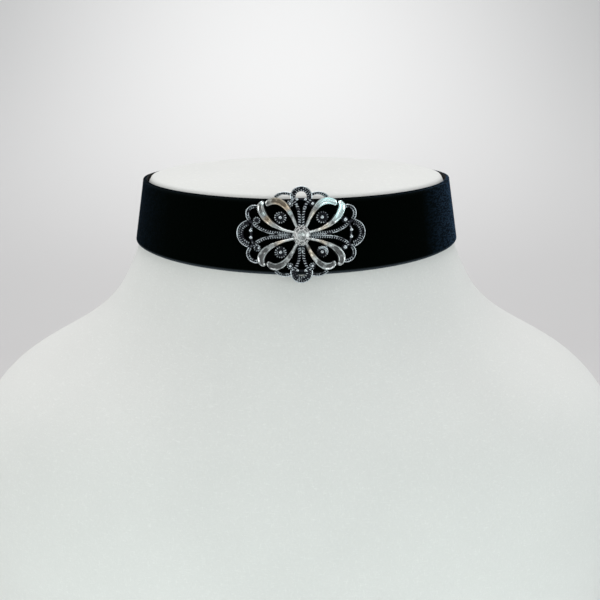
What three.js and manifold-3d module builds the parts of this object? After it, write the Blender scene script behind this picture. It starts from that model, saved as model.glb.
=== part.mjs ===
// A velvet ribbon choker with a pierced silver filigree and a clear stone,
// fastened round a plain cloth-covered neck bust.
// Millimetres, +Z up, the front towards -Y, the origin at the middle of the bust's flat base.
import * as THREE from "three";
import { mergeVertices } from "three/addons/utils/BufferGeometryUtils.js";
import { TessellateModifier } from "three/addons/modifiers/TessellateModifier.js";
import Module from "manifold-3d";

const wasm = await Module();
wasm.setup();

// Bust
const BUST_HEIGHT = 209.4;
const SHOULDER_HALF_WIDTH = 131;
const CHEST_DEPTH = 78; // neck axis to the most forward point of the chest
const BACK_DEPTH = 52; // neck axis to the most backward point
const CAP_RISE = 3.4; // dome of the neck above the ribbon
const BUST_SIDES = 60;

// Neck, where the ribbon lies
const NECK_HALF_WIDTH = 55.2; // at the middle of the ribbon
const NECK_TAPER = 0.195; // growth of the half-width for each millimetre down
const NECK_FRONT_SHARE = 0.95; // front depth over half-width
const NECK_BACK_SHARE = 0.75;
const NECK_POWER = 1.9; // 2 is an ellipse

// Ribbon
const RIBBON_WIDTH = 22;
const RIBBON_THICKNESS = 1.2;
const SELVAGE_WIDTH = 0.8;
const SELVAGE_THICKNESS = 0.6;
const RIBBON_GAP = 0.3; // clearance to the neck
const RIBBON_OPENING = 7; // between the ribbon's two ends, at the back

// Clasp
const CLAMP_WALL = 0.6;
const CLAMP_GAP = 0.3; // clearance to the ribbon and the neck
const CLAMP_REACH = 5; // how far it holds the ribbon's end
const CLAMP_OVERHANG = 0.6; // above and below the ribbon
const CLAMP_EASE = 3; // ribbon beyond the clamp that is still fully lifted
const LIFT_LENGTH = 14; // over which the ribbon comes down to the neck

// Filigree
const FILIGREE_WIDTH = 36.9;
const FILIGREE_HEIGHT = 27.5;
const FILIGREE_GAP = 0.4; // clearance to the ribbon
const FILIGREE_UP = 0.7; // its centre above the ribbon's middle
const FILIGREE_ASIDE = 0.6; // its centre to the right of the neck's
const PLATE_THICKNESS = 0.8;
const RIM_HEIGHT = 1.25;
const ROPE_HEIGHT = 1.15;
const PETAL_HEIGHT = 1.75;
const PETAL_WIDTH = 1.9;
const PETAL_BEVEL = 0.25;
const ROPE_WIDTH = 0.95;
const LINK_WIDTH = 0.6;
const RIM_WIDTH = 0.55;
const BEAD_RADIUS = 0.45;
const CURL_RADIUS = 1.1;
const CURL_WALL = 0.45;
const ROSETTE_RADIUS = 1.85;
const ROUND_SIDES = 10;
const ARC_STEP = 15; // degrees of a border arc for each of its edges

// Stone
const STONE_WIDTH = 5;
const STONE_HEIGHT = 5.8;
const STONE_CROWN = 1.3;
const STONE_PAVILION = 1.2;
const STONE_TABLE_SHARE = 0.55;
const STONE_STEP = { share: 0.82, rise: 0.62 }; // between the two rows of crown facets
const STONE_GIRDLE = 0.2;
const STONE_GAP = 0.3; // clearance in its cup
const CUP_INSET = 0.12; // cup's rim inside the stone's outline
const CUP_HEIGHT = 1.7;

const RIBBON_TOP = BUST_HEIGHT - CAP_RISE;
const NECK_SLANT = Math.atan(NECK_TAPER * NECK_FRONT_SHARE);
const RIBBON_MID = RIBBON_TOP - (RIBBON_WIDTH / 2) * Math.cos(NECK_SLANT);
const RIBBON_BOTTOM = 2 * RIBBON_MID - RIBBON_TOP;
const FILIGREE_OUT = RIBBON_GAP + RIBBON_THICKNESS + FILIGREE_GAP;
const FRONT = -1;
const BACK = 1;
const FILIGREE_PLACE = { x: FILIGREE_ASIDE, up: FILIGREE_UP, out: FILIGREE_OUT, side: FRONT };
const FILIGREE_EDGE = 4; // longest edge once bent
const CLASP_EDGE = 6;

const neckHalfWidth = (z) => NECK_HALF_WIDTH + NECK_TAPER * (RIBBON_MID - z);

// The bust's sections from its base to the ribbon. up is a share of the height of the ribbon's lower edge,
// side runs from 0 at the neck to 1 at the shoulder, front and back from 0 at the neck to 1 at full depth.
const BUST_SECTIONS = [
  { up: 0, side: 0.91, front: 0.74, back: 0.74, power: 2.3 },
  { up: 0.02, side: 0.96, front: 0.86, back: 0.86, power: 2.3 },
  { up: 0.2, side: 0.985, front: 0.96, back: 0.97, power: 2.3 },
  { up: 0.4, side: 1, front: 1, back: 1, power: 2.3 },
  { up: 0.53, side: 0.986, front: 0.97, back: 0.97, power: 2.3 },
  { up: 0.62, side: 0.932, front: 0.9, back: 0.86, power: 2.28 },
  { up: 0.685, side: 0.829, front: 0.81, back: 0.72, power: 2.24 },
  { up: 0.725, side: 0.74, front: 0.72, back: 0.6, power: 2.2 },
  { up: 0.76, side: 0.615, front: 0.62, back: 0.48, power: 2.15 },
  { up: 0.785, side: 0.504, front: 0.54, back: 0.39, power: 2.1 },
  { up: 0.81, side: 0.388, front: 0.46, back: 0.3, power: 2.06 },
  { up: 0.835, side: 0.29, front: 0.38, back: 0.22, power: 2.02 },
  { up: 0.862, side: 0.205, front: 0.29, back: 0.15, power: 1.98 },
  { up: 0.895, side: 0.129, front: 0.19, back: 0.09, power: 1.94 },
  { up: 0.935, side: 0.071, front: 0.1, back: 0.04, power: 1.92 },
  { up: 0.97, side: 0.031, front: 0.04, back: 0.015, power: NECK_POWER },
];

// The neck's domed top: share of the neck's section, and share of the dome's rise.
const CAP_SECTIONS = [
  { share: 1, rise: 0 },
  { share: 0.965, rise: 0.22 },
  { share: 0.91, rise: 0.42 },
  { share: 0.82, rise: 0.62 },
  { share: 0.66, rise: 0.8 },
  { share: 0.42, rise: 0.94 },
  { share: 0.18, rise: 0.99 },
];

// The filigree's paths in one quarter, mirrored to the other three.
// across and up are shares of half its width and height, wide is a share of the strip's width.
const INNER_PETAL = [
  { across: 0.06, up: 0.13, wide: 0.5 },
  { across: 0.108, up: 0.288, wide: 0.5 },
  { across: 0.149, up: 0.403, wide: 0.55 },
  { across: 0.2, up: 0.525, wide: 0.7 },
  { across: 0.27, up: 0.626, wide: 0.88 },
  { across: 0.357, up: 0.69, wide: 1 },
  { across: 0.443, up: 0.69, wide: 0.95 },
  { across: 0.495, up: 0.64, wide: 0.7 },
  { across: 0.505, up: 0.583, wide: 0.42 },
];
const OUTER_PETAL = [
  { across: 0.108, up: 0.058, wide: 0.42 },
  { across: 0.238, up: 0.104, wide: 0.45 },
  { across: 0.351, up: 0.158, wide: 0.55 },
  { across: 0.459, up: 0.237, wide: 0.75 },
  { across: 0.546, up: 0.349, wide: 0.97 },
  { across: 0.6, up: 0.46, wide: 1 },
  { across: 0.619, up: 0.554, wide: 0.92 },
  { across: 0.6, up: 0.626, wide: 0.75 },
  { across: 0.559, up: 0.642, wide: 0.45 },
];
const SIDE_ROPE = [
  { across: 0.11, up: 0.036, wide: 1 },
  { across: 0.27, up: 0.036, wide: 1 },
  { across: 0.4, up: 0.042, wide: 1 },
  { across: 0.508, up: 0.062, wide: 1 },
  { across: 0.6, up: 0.105, wide: 1 },
  { across: 0.681, up: 0.165, wide: 1 },
  { across: 0.73, up: 0.235, wide: 0.9 },
];
const UPRIGHT_ROPE = [
  { across: 0.027, up: 0.16, wide: 1 },
  { across: 0.027, up: 0.331, wide: 1 },
  { across: 0.031, up: 0.46, wide: 1 },
  { across: 0.049, up: 0.568, wide: 1 },
  { across: 0.086, up: 0.662, wide: 1 },
  { across: 0.13, up: 0.712, wide: 0.9 },
];
// Short plain bars: rope ends to the scallops' feet, the bars behind the scallops, the rosette's stem.
const LINKS = [
  [
    { across: 0.72, up: 0.22, wide: 1.3 },
    { across: 0.845, up: 0.287, wide: 1.3 },
  ],
  [
    { across: 0.735, up: 0.235, wide: 0.9 },
    { across: 0.775, up: 0.12, wide: 0.9 },
    { across: 0.78, up: -0.02, wide: 0.9 },
  ],
  [
    { across: 0.125, up: 0.7, wide: 1.3 },
    { across: 0.145, up: 0.8, wide: 1.3 },
  ],
  [
    { across: 0.13, up: 0.712, wide: 0.9 },
    { across: 0.06, up: 0.74, wide: 0.9 },
    { across: -0.01, up: 0.745, wide: 0.9 },
  ],
  [
    { across: 0.35, up: 0.28, wide: 1 },
    { across: 0.42, up: 0.2, wide: 1 },
  ],
];
// Border arcs. radius and wide are shares of half the height, angles are in degrees from the side axis.
const SIDE_SCALLOP = { across: 0.783, up: 0, radius: 0.29, wide: 0.128, from: -76, to: 76 };
const TOP_SCALLOP = { across: 0, up: 0.788, radius: 0.205, wide: 0.1, from: -14, to: 194 };
const QUARTER_SCALLOPS = [
  { across: 0.708, up: 0.414, radius: 0.198, wide: 0.072, from: -44, to: 112 },
  { across: 0.249, up: 0.554, radius: 0.3, wide: 0.065, from: 42, to: 126 },
];
const CURLS = [
  { across: 0.682, up: 0.288 },
  { across: 0.173, up: 0.644 },
];
const LOOSE_BEADS = [
  { across: 0.775, up: 0.068 },
  { across: 0.063, up: 0.735 },
];
const ROSETTE = { across: 0.319, up: 0.36 };
const QUARTERS = [
  [1, 1],
  [-1, 1],
  [-1, -1],
  [1, -1],
];

// Point and outward normal of the neck's surface in the ribbon's stretch.
function neckAt(x, y, z, share) {
  const n = NECK_POWER;
  const reach = (Math.abs(x) ** n + Math.abs(y / share) ** n) ** (1 / n);
  const slope = (v) => Math.sign(v) * (Math.abs(v) / reach) ** (n - 1);
  return new THREE.Vector3(slope(x), slope(y / share) / share, NECK_TAPER).normalize();
}

// A place on the ribbon: x to the side, up along it from its middle, out from the neck.
function onNeck(x, up, out, side) {
  const share = side === FRONT ? NECK_FRONT_SHARE : NECK_BACK_SHARE;
  const z = RIBBON_MID + up * Math.cos(NECK_SLANT);
  const a = neckHalfWidth(z);
  const n = NECK_POWER;
  const y = side * share * a * (1 - (Math.abs(x) / a) ** n) ** (1 / n);
  return new THREE.Vector3(x, y, z).addScaledVector(neckAt(x, y, z, share), out);
}

// Plan point of a section at an angle from the front, +X at a quarter turn.
function planPoint({ side, front, back, power }, angle) {
  const bend = (v) => Math.sign(v) * Math.abs(v) ** (2 / power);
  const depth = Math.cos(angle) > 0 ? front : back;
  return [side * bend(Math.sin(angle)), -depth * bend(Math.cos(angle))];
}

function moveVertices(geometry, place) {
  const position = geometry.getAttribute("position");
  const v = new THREE.Vector3();
  for (let i = 0; i < position.count; i++) {
    const moved = place(v.fromBufferAttribute(position, i));
    position.setXYZ(i, moved.x, moved.y, moved.z);
  }
  geometry.deleteAttribute("normal");
  geometry.deleteAttribute("uv");
  return mergeVertices(geometry, 1e-4);
}

const asIs = (v) => v.clone();

function toSolid(geometry) {
  const merged = moveVertices(geometry.clone(), asIs);
  return new wasm.Manifold(
    new wasm.Mesh({
      numProp: 3,
      vertProperties: new Float32Array(merged.getAttribute("position").array),
      triVerts: new Uint32Array(merged.index.array),
    }),
  );
}

function toGeometry(solid) {
  const { vertProperties, triVerts } = solid.getMesh();
  return new THREE.BufferGeometry()
    .setAttribute("position", new THREE.BufferAttribute(new Float32Array(vertProperties), 3))
    .setIndex(new THREE.BufferAttribute(new Uint32Array(triVerts), 1));
}

const joined = (solids) => solids.reduce((all, next) => all.add(next));

// Lays a flat solid, drawn in x, up and out, on the ribbon's path, its centre at the place given.
// Its back face keeps its length, so x is drawn in a little towards the neck.
function laidOnNeck(solid, edge, { x, up, out, side }) {
  const rounds = 6;
  const fine = new TessellateModifier(edge, rounds).modify(toGeometry(solid));
  const turn = -side;
  const drawnIn = NECK_HALF_WIDTH / (NECK_HALF_WIDTH + out);
  return moveVertices(fine, (v) => onNeck(turn * (v.x * drawnIn + x), v.y + up, v.z + out, side));
}

function material(color, roughness, metalness) {
  return new THREE.MeshStandardMaterial({ color, roughness, metalness });
}

function part(name, geometry, look) {
  const mesh = new THREE.Mesh(geometry, look);
  mesh.name = name;
  return mesh;
}

// The bust, a lathe whose rows take the sections' plans.
function bustGeometry() {
  const low = { side: neckHalfWidth(RIBBON_BOTTOM), power: NECK_POWER };
  low.front = low.side * NECK_FRONT_SHARE;
  low.back = low.side * NECK_BACK_SHARE;
  const top = { side: neckHalfWidth(RIBBON_TOP), power: NECK_POWER };
  top.front = top.side * NECK_FRONT_SHARE;
  top.back = top.side * NECK_BACK_SHARE;
  const rows = BUST_SECTIONS.map(({ up, side, front, back, power }) => ({
    z: RIBBON_BOTTOM * up,
    side: low.side + (SHOULDER_HALF_WIDTH - low.side) * side,
    front: low.front + (CHEST_DEPTH - low.front) * front,
    back: low.back + (BACK_DEPTH - low.back) * back,
    power,
  }));
  rows.push({ z: RIBBON_BOTTOM, ...low });
  for (const { share, rise } of CAP_SECTIONS)
    rows.push({
      z: RIBBON_TOP + CAP_RISE * rise,
      side: top.side * share,
      front: top.front * share,
      back: top.back * share,
      power: NECK_POWER,
    });
  const profile = rows.map((row, i) => new THREE.Vector2(1, i));
  profile.unshift(new THREE.Vector2(0, 0));
  profile.push(new THREE.Vector2(0, rows.length));
  const lathe = new THREE.LatheGeometry(profile, BUST_SIDES);
  return moveVertices(lathe, (v) => {
    if (v.y > rows.length - 0.5) return new THREE.Vector3(0, 0, BUST_HEIGHT);
    const row = rows[Math.round(v.y)];
    if (Math.hypot(v.x, v.z) < 0.5) return new THREE.Vector3(0, 0, row.z);
    const [x, y] = planPoint(row, Math.atan2(v.x, v.z));
    return new THREE.Vector3(x, y, row.z);
  });
}

// How far the ribbon stands off the neck: its ends lie over the clasp's inner walls.
function ribbonLift(x, y) {
  if (y < 0) return 0;
  const full = RIBBON_OPENING / 2 + CLAMP_REACH + CLAMP_EASE;
  const none = full + LIFT_LENGTH;
  const t = THREE.MathUtils.smoothstep(none - Math.abs(x), 0, none - full);
  return (CLAMP_WALL + CLAMP_GAP) * t;
}

// The ribbon: a lathe ring laid round the neck, open at the back.
function ribbonGeometry() {
  const half = RIBBON_WIDTH / 2;
  const pile = half - SELVAGE_WIDTH;
  const slope = SELVAGE_WIDTH / 2;
  const section = [
    [0, -half],
    [SELVAGE_THICKNESS, -half],
    [SELVAGE_THICKNESS, -pile],
    [RIBBON_THICKNESS, slope - pile],
    [RIBBON_THICKNESS, pile - slope],
    [SELVAGE_THICKNESS, pile],
    [SELVAGE_THICKNESS, half],
    [0, half],
    [0, -half],
  ];
  const far = 10; // the lathe's own radius, which the laying takes off again
  const ring = new THREE.LatheGeometry(
    section.map(([out, up]) => new THREE.Vector2(far + out, up)),
    BUST_SIDES,
  );
  const laid = moveVertices(ring, (v) => {
    const out = Math.hypot(v.x, v.z) - far + RIBBON_GAP;
    const z = RIBBON_MID + v.y * Math.cos(NECK_SLANT);
    const a = neckHalfWidth(z);
    const angle = Math.atan2(v.x, v.z);
    const share = Math.cos(angle) > 0 ? NECK_FRONT_SHARE : NECK_BACK_SHARE;
    const plan = {
      side: a,
      front: a * NECK_FRONT_SHARE,
      back: a * NECK_BACK_SHARE,
      power: NECK_POWER,
    };
    const [x, y] = planPoint(plan, angle);
    const normal = neckAt(x, y, z, share);
    return new THREE.Vector3(x, y, z).addScaledVector(normal, out + ribbonLift(x, y));
  });
  const cutter = new THREE.BoxGeometry(RIBBON_OPENING, NECK_HALF_WIDTH, 3 * RIBBON_WIDTH);
  cutter.translate(0, NECK_HALF_WIDTH, RIBBON_MID);
  return toGeometry(toSolid(laid).subtract(toSolid(cutter)));
}

function slab(x0, x1, up, out0, out1) {
  const box = new THREE.BoxGeometry(x1 - x0, 2 * up, out1 - out0);
  return toSolid(box.translate((x0 + x1) / 2, 0, (out0 + out1) / 2));
}

// The clasp: a folded clamp over each end of the ribbon and the plate between them, in one piece.
function claspGeometry() {
  const up = RIBBON_WIDTH / 2 + CLAMP_OVERHANG;
  const near = RIBBON_OPENING / 2 - CLAMP_GAP;
  const far = RIBBON_OPENING / 2 + CLAMP_REACH;
  const inner = CLAMP_GAP;
  const ribbon = RIBBON_GAP + CLAMP_WALL + CLAMP_GAP;
  const outer = ribbon + RIBBON_THICKNESS + CLAMP_GAP;
  const outside = outer + CLAMP_WALL;
  const clamp = [
    slab(near - CLAMP_WALL, far, up, inner, ribbon - CLAMP_GAP),
    slab(near - CLAMP_WALL, far, up, outer, outside),
    slab(near - CLAMP_WALL, near, up, inner, outside),
  ];
  const mirrored = clamp.map((solid) => solid.mirror([1, 0, 0]));
  const plate = slab(-near, near, up, inner, outside);
  const place = { x: 0, up: 0, out: 0, side: BACK };
  return laidOnNeck(joined([...clamp, ...mirrored, plate]), CLASP_EDGE, place);
}

const flatX = (across) => (across * FILIGREE_WIDTH) / 2;
const flatUp = (up) => (up * FILIGREE_HEIGHT) / 2;

function extruded(outline, height, bevel = 0) {
  const shape = new THREE.Shape(outline);
  const geometry = new THREE.ExtrudeGeometry(shape, {
    depth: height - bevel,
    bevelEnabled: bevel > 0,
    bevelThickness: bevel,
    bevelSize: bevel,
    bevelOffset: -bevel,
    bevelSegments: 1,
    curveSegments: 1,
  });
  return toSolid(geometry);
}

// A flat strip of changing width along a smooth path, with a round end.
function strip(rows, width, height, [sx, sy], bevel = 0, steps = 2) {
  const path = new THREE.SplineCurve(
    rows.map(({ across, up }) => new THREE.Vector2(flatX(across) * sx, flatUp(up) * sy)),
  );
  const last = rows.length - 1;
  const count = last * steps;
  const edge = (i, turn) => {
    const t = i / count;
    const k = Math.min(Math.floor(t * last), last - 1);
    const half = (width / 2) * THREE.MathUtils.lerp(rows[k].wide, rows[k + 1].wide, t * last - k);
    const along = path.getTangent(t);
    return path.getPoint(t).add(new THREE.Vector2(-along.y, along.x).multiplyScalar(half * turn));
  };
  const outline = [];
  for (let i = 0; i <= count; i++) outline.push(edge(i, 1));
  const end = path.getPoint(1);
  const capSteps = 4; // edges of the round end
  for (let i = 1; i < capSteps; i++) {
    const spoke = edge(count, 1).sub(end);
    outline.push(spoke.rotateAround(new THREE.Vector2(), (-Math.PI * i) / capSteps).add(end));
  }
  for (let i = count; i >= 0; i--) outline.push(edge(i, -1));
  return extruded(outline, height, bevel);
}

// A border arc: the plate's width, and a raised rim along its outer edge.
function scallop({ across, up, radius, wide, from, to }, [sx, sy]) {
  const outer = flatUp(radius);
  const arc = (inner, height) => {
    const steps = Math.ceil((to - from) / ARC_STEP);
    const outline = [];
    const point = (r, i) => {
      const angle = THREE.MathUtils.degToRad(from + ((to - from) * i) / steps);
      const x = flatX(across) + r * Math.cos(angle);
      const y = flatUp(up) + r * Math.sin(angle);
      return new THREE.Vector2(x * sx, y * sy);
    };
    for (let i = 0; i <= steps; i++) outline.push(point(outer, i));
    for (let i = steps; i >= 0; i--) outline.push(point(inner, i));
    return extruded(outline, height);
  };
  return [arc(outer - flatUp(wide), PLATE_THICKNESS), arc(outer - RIM_WIDTH, RIM_HEIGHT)];
}

// A turned piece standing on the plate's back face.
function turned(profile, { across, up }, [sx, sy]) {
  const points = profile.map(([r, h]) => new THREE.Vector2(r, h));
  const lathe = new THREE.LatheGeometry(points, ROUND_SIDES).rotateX(Math.PI / 2);
  return toSolid(lathe.translate(flatX(across) * sx, flatUp(up) * sy, 0));
}

const BEAD_PROFILE = [
  [0, 0],
  [BEAD_RADIUS, 0],
  [BEAD_RADIUS, PLATE_THICKNESS],
  [BEAD_RADIUS * 0.7, PLATE_THICKNESS + BEAD_RADIUS * 0.7],
  [0, PLATE_THICKNESS + BEAD_RADIUS],
];
const CURL_PROFILE = [
  [0, 0],
  [CURL_RADIUS, 0],
  [CURL_RADIUS, ROPE_HEIGHT],
  [CURL_RADIUS - CURL_WALL, ROPE_HEIGHT],
  [CURL_RADIUS - CURL_WALL, PLATE_THICKNESS / 2],
  [0, PLATE_THICKNESS / 2],
];
const ROSETTE_PROFILE = [
  [0, 0],
  [ROSETTE_RADIUS, 0],
  [ROSETTE_RADIUS, PLATE_THICKNESS],
  [ROSETTE_RADIUS * 0.85, ROPE_HEIGHT],
  [ROSETTE_RADIUS * 0.65, ROPE_HEIGHT],
  [ROSETTE_RADIUS * 0.55, PLATE_THICKNESS / 2],
  [BEAD_RADIUS, PLATE_THICKNESS / 2],
  [BEAD_RADIUS, PLATE_THICKNESS],
  [0, PLATE_THICKNESS + BEAD_RADIUS],
];

// The oval cup that carries the stone, with a cone sunk in it.
function cup() {
  const radius = STONE_WIDTH / 2 - CUP_INSET;
  const stretch = STONE_HEIGHT / STONE_WIDTH;
  const sunk = CUP_HEIGHT - STONE_PAVILION - STONE_GAP;
  const outline = [
    [0, 0],
    [radius, 0],
    [radius, CUP_HEIGHT],
    [radius - CURL_WALL, CUP_HEIGHT],
    [0, sunk],
  ];
  const points = outline.map(([r, h]) => new THREE.Vector2(r, h));
  const lathe = new THREE.LatheGeometry(points, 2 * ROUND_SIDES).rotateX(Math.PI / 2);
  return toSolid(lathe.scale(1, stretch, 1));
}

function filigreeGeometry() {
  const solids = [cup()];
  for (const quarter of QUARTERS) {
    solids.push(strip(INNER_PETAL, PETAL_WIDTH, PETAL_HEIGHT, quarter, PETAL_BEVEL));
    solids.push(strip(OUTER_PETAL, PETAL_WIDTH, PETAL_HEIGHT, quarter, PETAL_BEVEL));
    solids.push(strip(SIDE_ROPE, ROPE_WIDTH, ROPE_HEIGHT, quarter));
    solids.push(strip(UPRIGHT_ROPE, ROPE_WIDTH, ROPE_HEIGHT, quarter));
    for (const link of LINKS) solids.push(strip(link, LINK_WIDTH, PLATE_THICKNESS, quarter));
    for (const arc of QUARTER_SCALLOPS) solids.push(...scallop(arc, quarter));
    for (const place of CURLS) {
      solids.push(turned(CURL_PROFILE, place, quarter));
      solids.push(turned(BEAD_PROFILE, place, quarter));
    }
    for (const place of LOOSE_BEADS) solids.push(turned(BEAD_PROFILE, place, quarter));
    solids.push(turned(ROSETTE_PROFILE, ROSETTE, quarter));
  }
  for (const turn of [1, -1]) {
    solids.push(...scallop(SIDE_SCALLOP, [turn, 1]));
    solids.push(...scallop(TOP_SCALLOP, [1, turn]));
  }
  return laidOnNeck(joined(solids), FILIGREE_EDGE, FILIGREE_PLACE);
}

// The stone: table, two rows of crown facets, girdle and a coned back.
function stoneGeometry() {
  const radius = STONE_WIDTH / 2;
  const profile = [
    [0, -STONE_PAVILION],
    [radius - CUP_INSET - CURL_WALL - STONE_GAP, 0],
    [radius, 0],
    [radius, STONE_GIRDLE],
    [radius * STONE_STEP.share, STONE_CROWN * STONE_STEP.rise],
    [radius * STONE_TABLE_SHARE, STONE_CROWN],
    [0, STONE_CROWN],
  ];
  const lathe = new THREE.LatheGeometry(
    profile.map(([r, h]) => new THREE.Vector2(r, h)),
    ROUND_SIDES,
  ).rotateX(Math.PI / 2);
  return moveVertices(lathe.scale(1, STONE_HEIGHT / STONE_WIDTH, 1), asIs);
}

const cloth = material(0xdfe3df, 0.95, 0);
const velvet = material(0x06080c, 1, 0);
const silver = material(0x9a9a98, 0.35, 1);
const steel = material(0xb0b0b0, 0.4, 1);
const crystal = material(0xd8e0e0, 0.05, 0);

const stone = part("stone", stoneGeometry(), crystal);
const stoneOut = FILIGREE_OUT + CUP_HEIGHT + STONE_GAP;
const seat = onNeck(FILIGREE_ASIDE, FILIGREE_UP, stoneOut, FRONT);
const foot = onNeck(FILIGREE_ASIDE, FILIGREE_UP, 0, FRONT);
const outward = neckAt(foot.x, foot.y, foot.z, NECK_FRONT_SHARE);
const sideways = new THREE.Vector3(-outward.y, outward.x, 0).normalize();
const upward = new THREE.Vector3().crossVectors(outward, sideways);
stone.quaternion.setFromRotationMatrix(
  new THREE.Matrix4().makeBasis(sideways, upward, outward),
);
stone.position.copy(seat);

const choker = new THREE.Group();
choker.add(
  part("velvet_ribbon", ribbonGeometry(), velvet),
  part("filigree", filigreeGeometry(), silver),
  stone,
  part("clasp", claspGeometry(), steel),
  part("neck_bust", bustGeometry(), cloth),
);
choker.position.y = (CHEST_DEPTH - BACK_DEPTH) / 2;

export default new THREE.Group().add(choker);
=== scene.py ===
"""A velvet ribbon choker with a pierced silver filigree and a clear stone, on a cloth-covered neck bust."""

import math

import bpy
from mathutils import Matrix, Vector


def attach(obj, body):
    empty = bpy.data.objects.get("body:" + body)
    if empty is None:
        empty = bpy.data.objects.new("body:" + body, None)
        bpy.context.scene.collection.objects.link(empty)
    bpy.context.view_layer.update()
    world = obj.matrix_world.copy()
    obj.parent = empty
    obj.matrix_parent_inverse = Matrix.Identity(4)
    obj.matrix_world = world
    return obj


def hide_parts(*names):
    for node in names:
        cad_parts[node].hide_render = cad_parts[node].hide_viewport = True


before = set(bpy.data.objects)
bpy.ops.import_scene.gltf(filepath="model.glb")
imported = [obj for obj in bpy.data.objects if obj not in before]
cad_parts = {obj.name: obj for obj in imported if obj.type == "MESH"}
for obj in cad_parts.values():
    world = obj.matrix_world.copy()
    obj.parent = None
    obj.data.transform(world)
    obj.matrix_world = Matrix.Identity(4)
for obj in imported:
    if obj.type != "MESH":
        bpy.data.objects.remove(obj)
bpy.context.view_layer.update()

bl_info = {
    "name": "Velvet choker on a neck bust",
    "version": (1, 0, 0),
    "blender": (4, 5, 0),
    "location": "View3D > Sidebar > Choker",
    "description": "Dresses a velvet choker with a filigree and a stone, and its neck bust",
    "category": "Object",
}

MM = 0.001
DISH_SHARE = 0.75  # of a petal's width, between its bright edges

# Filigree paths, drawn flat in millimetres from its centre: across, up, width of the strip.
UPPER_INNER_PETAL = [
    (1.0, 1.9, 0.92), (1.65, 3.2, 0.98), (2.45, 5.1, 1.04), (3.6, 7.2, 1.28), (4.95, 8.8, 1.65),
    (6.6, 9.65, 1.95), (8.2, 9.6, 1.83), (9.2, 8.95, 1.46), (9.45, 8.2, 0.98),
]
UPPER_OUTER_PETAL = [
    (1.8, 0.75, 0.85), (4.6, 1.4, 0.92), (6.8, 2.3, 1.1), (8.7, 3.5, 1.4), (10.15, 5.0, 1.83),
    (11.05, 6.7, 1.95), (11.3, 8.0, 1.77), (10.95, 8.85, 1.4), (10.3, 9.0, 0.92),
]
LOWER_INNER_PETAL = [
    (1.0, -1.9, 0.92), (1.7, -3.2, 0.98), (2.6, -5.0, 1.1), (3.9, -6.9, 1.34), (5.3, -8.35, 1.65),
    (6.9, -9.15, 1.95), (8.3, -9.05, 1.83), (9.1, -8.4, 1.4), (9.3, -7.7, 0.98),
]
LOWER_OUTER_PETAL = [
    (1.8, -0.9, 0.85), (4.7, -1.65, 0.92), (7.0, -2.5, 1.1), (9.0, -3.6, 1.4), (10.5, -4.95, 1.83),
    (11.35, -6.5, 1.95), (11.35, -7.8, 1.77), (10.8, -8.55, 1.34), (10.2, -8.5, 0.92),
]
SIDE_ROPE = [
    (2.0, 0.62, 0.95), (5.0, 0.62, 0.95), (7.4, 0.66, 0.95), (9.4, 0.9, 0.95), (11.1, 1.46, 0.95),
    (12.6, 2.3, 0.95), (13.5, 3.27, 0.85),
]
UPRIGHT_ROPE = [
    (0.56, 2.2, 0.95), (0.56, 4.6, 0.95), (0.66, 6.4, 0.95), (1.0, 7.9, 0.95), (1.6, 9.2, 0.95),
    (2.4, 9.9, 0.85),
]
LINKS = [
    [(13.3, 3.05, 0.8), (15.6, 4.0, 0.8)],
    [(13.55, 3.27, 0.55), (14.3, 1.67, 0.55), (14.4, -0.3, 0.55)],
    [(2.3, 9.7, 0.8), (2.67, 11.1, 0.8)],
    [(2.4, 9.9, 0.55), (1.1, 10.3, 0.55), (-0.2, 10.35, 0.55)],
    [(6.45, 3.9, 0.6), (7.75, 2.8, 0.6)],
]
# Border arcs: centre across and up, outer radius, width, first and last angle from the side.
SIDE_SCALLOP = (14.45, 0, 4.03, 1.7, -76, 76)
TOP_SCALLOP = (0, 10.9, 3.1, 1.55, -10, 190)
LOW_SCALLOP = (0, 10.7, 3.2, 1.95, -10, 190)
CORNER_SCALLOP = (13.06, 5.7, 2.72, 0.9, -44, 112)
FLANK_SCALLOP = (4.6, 7.62, 4.12, 0.86, 42, 114)
ROSETTE = (5.9, 5.0)
SIDE_CURL = (12.58, 4.0)
UPRIGHT_CURL = (3.19, 8.95)
SIDE_BEAD = (14.4, 1.0)
LOW_BEAD = (1.16, 10.2)
MIDDLE_ROPE = [(2.4, 0, 0.3), (4.5, 0, 0.3), (6.7, 0, 0.3)]
FLANK_REACH = {1: 0.65, -1: 0.35}  # how much further out the upper and the lower ones lie
# Patches of painted reflection on the petals: across, up, radius, and how gold-tinted (above 0) or
# blue-tinted (below 0) the painted reflection is.
PAINTED_REFLECTIONS = [
    (-6.4, 9.4, 2.0, 0.8), (-3.8, 7.8, 1.6, 0.9), (-9.4, 4.6, 1.7, 0.9), (-11.3, 8.9, 1.2, 0.3),
    (-10.4, 5.8, 0.8, -1.0), (-3.2, 6.4, 0.8, -1.0), (-10.9, 8.9, 0.7, -0.8), (4.0, 5.6, 1.5, 0.7),
    (6.5, 1.9, 1.6, 0.6), (-5.9, -2.2, 1.4, 0.6), (2.7, -5.1, 1.5, 0.7), (5.9, -2.2, 1.4, 0.6),
    (8.1, 9.9, 2.4, -0.9), (5.9, 8.3, 1.5, -0.6), (11.5, 7.3, 2.4, -0.9), (10.7, 4.6, 1.5, -0.7),
]
QUARTERS = [(1, 1), (-1, 1), (-1, -1), (1, -1)]

# Facets of the stone: height on its axis, slope in degrees, how many, turned by a share of a facet.
FACETS = [
    (3.95, 57, 16, 0.5), (2.29, 36, 8, 0.0), (1.86, 22, 8, 0.5), (-1.2, 23.7, 8, 0.0),
    (-1.27, 25.5, 8, 0.5),
]


def number(name, description, default, **kind):
    return bpy.props.FloatProperty(name=name, description=description, default=default, **kind)


def metres(name, description, default):
    return number(name, description, default, unit="LENGTH")


def angle_of(name, description, default):
    return number(name, description, default, subtype="ANGLE")


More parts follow.
